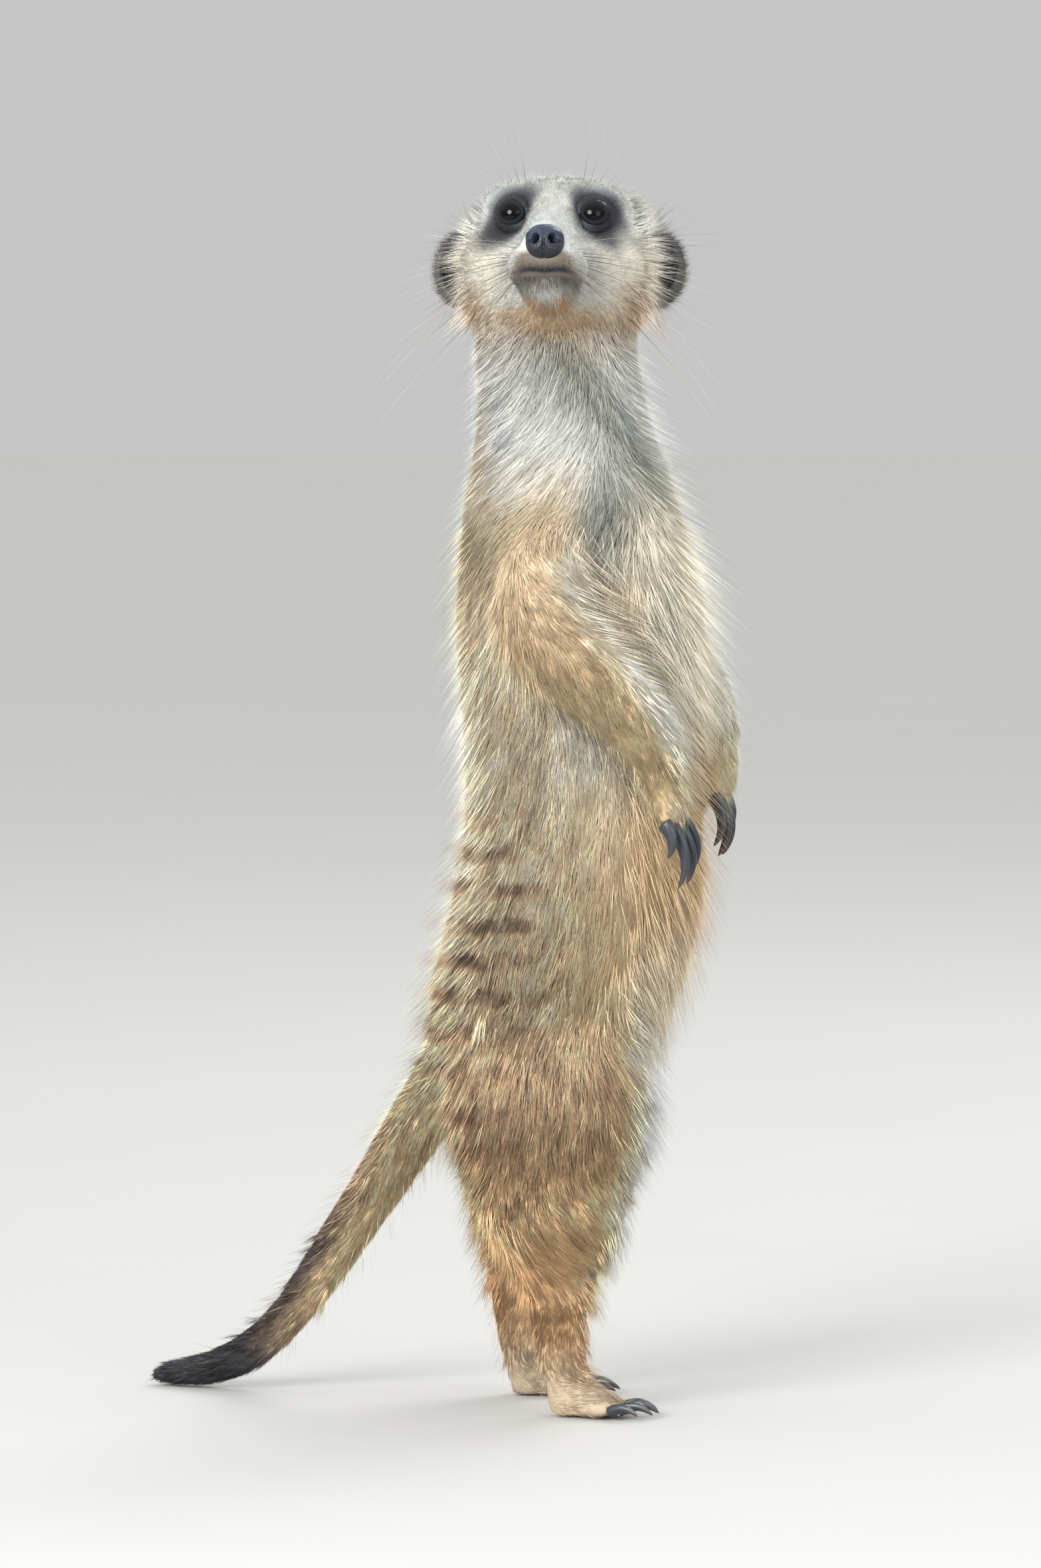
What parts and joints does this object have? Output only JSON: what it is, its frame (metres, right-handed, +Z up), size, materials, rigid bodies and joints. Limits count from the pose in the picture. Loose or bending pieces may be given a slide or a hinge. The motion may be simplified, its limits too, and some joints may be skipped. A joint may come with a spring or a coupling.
{
  "type": "standing meerkat",
  "caption": "Life-size meerkat standing upright on its hind legs, head turned to its right, forepaws hanging before its belly and tail laid back on the floor.",
  "frame": {"origin": "centre of the bounding box's underside, on the floor", "axes": "+Z up; -Y is the way the hips and hind feet face; +X is the animal's left; the head looks along -X"},
  "size_m": [0.087, 0.1582, 0.3207],
  "materials": {
    "coat_tan": "grizzled tan fur of the back, flanks, thighs and tail",
    "coat_sand": "short sandy fur of the face, forearms and feet",
    "coat_pale": "pale cream fur of the neck and throat",
    "coat_dark": "near-black short fur of the ears and the tail's tip",
    "nose_leather": "moist dark blue-grey bare skin",
    "eyeball": "wet near-black eye",
    "claw_horn": "smooth dark grey horn"
  },
  "bodies": {
    "root": {"hips": "coat_tan", "belly": "coat_tan", "chest": "coat_tan", "neck": "coat_pale", "upper_arm_left": "coat_tan", "forearm_left": "coat_sand", "forepaw_left": "coat_sand", "forepaw_left_claw_1": "claw_horn", "forepaw_left_claw_2": "claw_horn", "forepaw_left_claw_3": "claw_horn", "forepaw_left_claw_4": "claw_horn", "upper_arm_right": "coat_tan", "forearm_right": "coat_sand", "forepaw_right": "coat_sand", "forepaw_right_claw_1": "claw_horn", "forepaw_right_claw_2": "claw_horn", "forepaw_right_claw_3": "claw_horn", "forepaw_right_claw_4": "claw_horn", "thigh_left": "coat_tan", "shank_left": "coat_tan", "hind_foot_left": "coat_sand", "hind_foot_left_claw_1": "claw_horn", "hind_foot_left_claw_2": "claw_horn", "hind_foot_left_claw_3": "claw_horn", "hind_foot_left_claw_4": "claw_horn", "thigh_right": "coat_tan", "shank_right": "coat_tan", "hind_foot_right": "coat_sand", "hind_foot_right_claw_1": "claw_horn", "hind_foot_right_claw_2": "claw_horn", "hind_foot_right_claw_3": "claw_horn", "hind_foot_right_claw_4": "claw_horn", "tail_base": "coat_tan", "tail_middle": "coat_tan", "tail_tip": "coat_dark", "head": "coat_sand", "nose": "nose_leather", "eye_left": "eyeball", "ear_left": "coat_dark", "eye_right": "eyeball", "ear_right": "coat_dark"}
  },
  "joints": []
}
